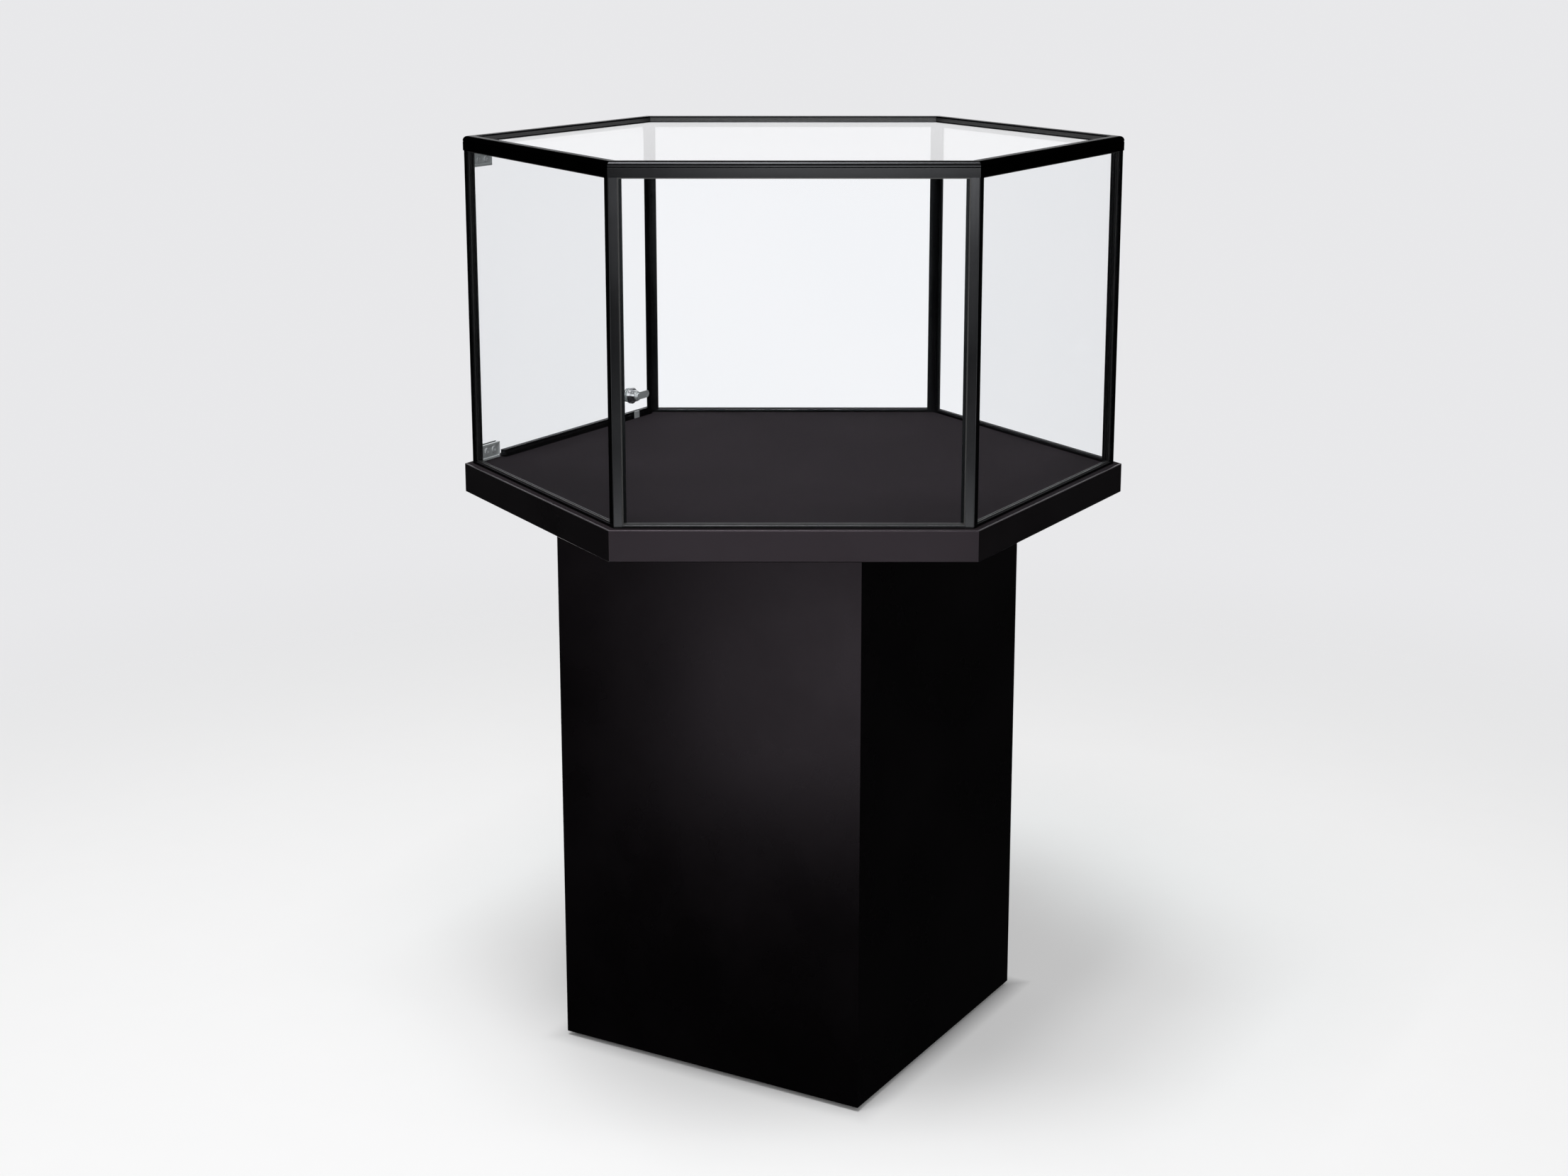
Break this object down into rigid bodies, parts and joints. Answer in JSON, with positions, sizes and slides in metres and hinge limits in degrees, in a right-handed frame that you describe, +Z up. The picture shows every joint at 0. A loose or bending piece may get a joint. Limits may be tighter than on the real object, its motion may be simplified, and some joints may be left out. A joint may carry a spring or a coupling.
{
  "type": "glass display cabinet",
  "caption": "Hexagonal glass display case on a hexagonal deck and a square pedestal, with a frameless glass door on pivot clamps and a cam lock.",
  "frame": {"origin": "middle of the floor under the pedestal, at the undersides of the glides", "axes": "+Z up, +Y out through the glass door, +X towards the door's lock post"},
  "size_m": [0.9, 0.7794, 1.252],
  "materials": {
    "black_laminate": "satin black laminate on board",
    "deck_laminate": "satin black laminate on board",
    "edge_band": "satin black edge band",
    "raw_board": "bare board and battens",
    "black_anodised": "satin black anodised",
    "clear_glass": "clear, polished edges",
    "black_rubber": "matte black",
    "chrome": "polished",
    "bright_steel": "bright",
    "zinc_steel": "zinc plated",
    "cast_key": "cast",
    "black_nylon": "moulded black"
  },
  "bodies": {
    "cabinet": {"pedestal_front_panel": "black_laminate", "pedestal_right_panel": "black_laminate", "pedestal_back_panel": "black_laminate", "pedestal_left_panel": "black_laminate", "deck_board": "deck_laminate", "deck_edge_bands": "edge_band", "pedestal_bottom_board": "raw_board", "pedestal_top_board": "raw_board", "pedestal_corner_blocks": "raw_board", "right_post": "black_anodised", "lock_post": "black_anodised", "hinge_post": "black_anodised", "left_post": "black_anodised", "front_left_post": "black_anodised", "front_right_post": "black_anodised", "top_rail_front": "black_anodised", "top_rail_front_right": "black_anodised", "top_rail_back_right": "black_anodised", "top_rail_back_left": "black_anodised", "top_rail_front_left": "black_anodised", "top_rail_door": "black_anodised", "bottom_rail_front": "black_anodised", "bottom_rail_front_right": "black_anodised", "bottom_rail_back_right": "black_anodised", "bottom_rail_back_left": "black_anodised", "bottom_rail_front_left": "black_anodised", "door_sill": "black_anodised", "pane_front": "clear_glass", "pane_front_right": "clear_glass", "pane_back_right": "clear_glass", "pane_back_left": "clear_glass", "pane_front_left": "clear_glass", "top_pane": "clear_glass", "pane_gaskets": "black_rubber", "top_gasket": "black_rubber", "lock_keeper": "bright_steel", "keeper_screws": "bright_steel", "pedestal_block_screws": "zinc_steel", "pedestal_board_screws": "zinc_steel", "deck_screws": "zinc_steel", "post_base_screws": "zinc_steel", "top_corner_screws": "zinc_steel", "top_corner_keys": "cast_key", "floor_glides": "black_nylon", "pivot_bush_bottom": "black_nylon", "pivot_bush_top": "black_nylon"},
    "door": {"door_pane": "clear_glass", "hinge_clamp_bottom": "chrome", "hinge_clamp_top": "chrome", "pivot_pin_bottom": "bright_steel", "pivot_pin_top": "bright_steel", "clamp_pads": "black_rubber", "clamp_set_screws": "bright_steel", "lock_barrel": "chrome", "lock_washers": "bright_steel", "lock_nut": "chrome"},
    "lock": {"lock_plug": "chrome", "lock_cam": "bright_steel", "lock_cam_screw": "bright_steel"}
  },
  "joints": [
    {"name": "door_swing", "type": "hinge", "parent": "cabinet", "child": "door", "pos_m": [-0.20151, 0.37621, 0.807], "axis": [0, 0, 1], "range_deg": [0, 110]},
    {"name": "lock_turn", "type": "hinge", "parent": "door", "child": "lock", "pos_m": [0.16151, 0.36821, 0.8405], "axis": [0, 1, 0], "range_deg": [0, 90]}
  ]
}
